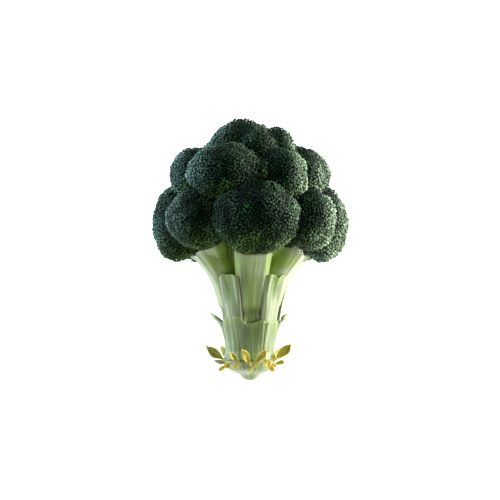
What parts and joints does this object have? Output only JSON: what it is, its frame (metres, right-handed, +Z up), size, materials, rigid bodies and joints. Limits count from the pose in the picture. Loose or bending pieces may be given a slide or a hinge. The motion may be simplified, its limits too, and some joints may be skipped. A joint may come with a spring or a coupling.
{
  "type": "broccoli head",
  "caption": "Head of broccoli lying on its back: packed dark green bud domes on a pale branching stalk, with cut leaf bases round the stalk and yellow leaflets at its foot.",
  "frame": {"origin": "middle of the bounding box's underside, on the surface the head lies on", "axes": "+Z up, away from the surface; +Y towards the crown along the stalk's level direction; +X to the crown's right when it is looked down on with the crown away from the viewer"},
  "size_m": [0.15, 0.1848, 0.1234],
  "materials": {
    "buds": "grainy matt, closed buds",
    "stalk": "satin, waxy",
    "leaf_base": "satin, waxy",
    "leaflet": "matt leaf"
  },
  "bodies": {
    "root": {"floret_lower_back": "buds", "floret_lower_back_left": "buds", "floret_lower_back_right": "buds", "floret_lower_front": "buds", "floret_lower_front_left": "buds", "floret_lower_front_right": "buds", "floret_lower_left": "buds", "floret_lower_right": "buds", "floret_lower_right_front": "buds", "floret_top": "buds", "floret_top_back": "buds", "floret_top_back_left": "buds", "floret_top_front": "buds", "floret_top_right": "buds", "floret_upper_back": "buds", "floret_upper_back_left": "buds", "floret_upper_back_right": "buds", "floret_upper_front": "buds", "floret_upper_front_left": "buds", "floret_upper_front_right": "buds", "floret_upper_left": "buds", "floret_upper_right": "buds", "leaf_base_lower_back": "leaf_base", "leaf_base_lower_back_left": "leaf_base", "leaf_base_lower_back_right": "leaf_base", "leaf_base_lower_front": "leaf_base", "leaf_base_lower_front_left": "leaf_base", "leaf_base_lower_front_right": "leaf_base", "leaf_base_lower_left": "leaf_base", "leaf_base_lower_right": "leaf_base", "leaf_base_upper_back": "leaf_base", "leaf_base_upper_back_left": "leaf_base", "leaf_base_upper_back_right": "leaf_base", "leaf_base_upper_front_left": "leaf_base", "leaf_base_upper_front_right": "leaf_base", "leaflet_back_left_long": "leaflet", "leaflet_back_left_low": "leaflet", "leaflet_back_long": "leaflet", "leaflet_back_right_long": "leaflet", "leaflet_back_right_low": "leaflet", "leaflet_back_short": "leaflet", "leaflet_front_left_long": "leaflet", "leaflet_front_left_low": "leaflet", "leaflet_front_lobed": "leaflet", "leaflet_front_long": "leaflet", "leaflet_left_bud": "leaflet", "leaflet_left_inner": "leaflet", "leaflet_left_long": "leaflet", "leaflet_left_low": "leaflet", "leaflet_left_pale": "leaflet", "leaflet_right_bud": "leaflet", "leaflet_right_long": "leaflet", "leaflet_right_low": "leaflet", "leaflet_right_mid": "leaflet", "leaflet_right_side": "leaflet", "leaflet_right_small": "leaflet", "stalk": "stalk"}
  },
  "joints": []
}
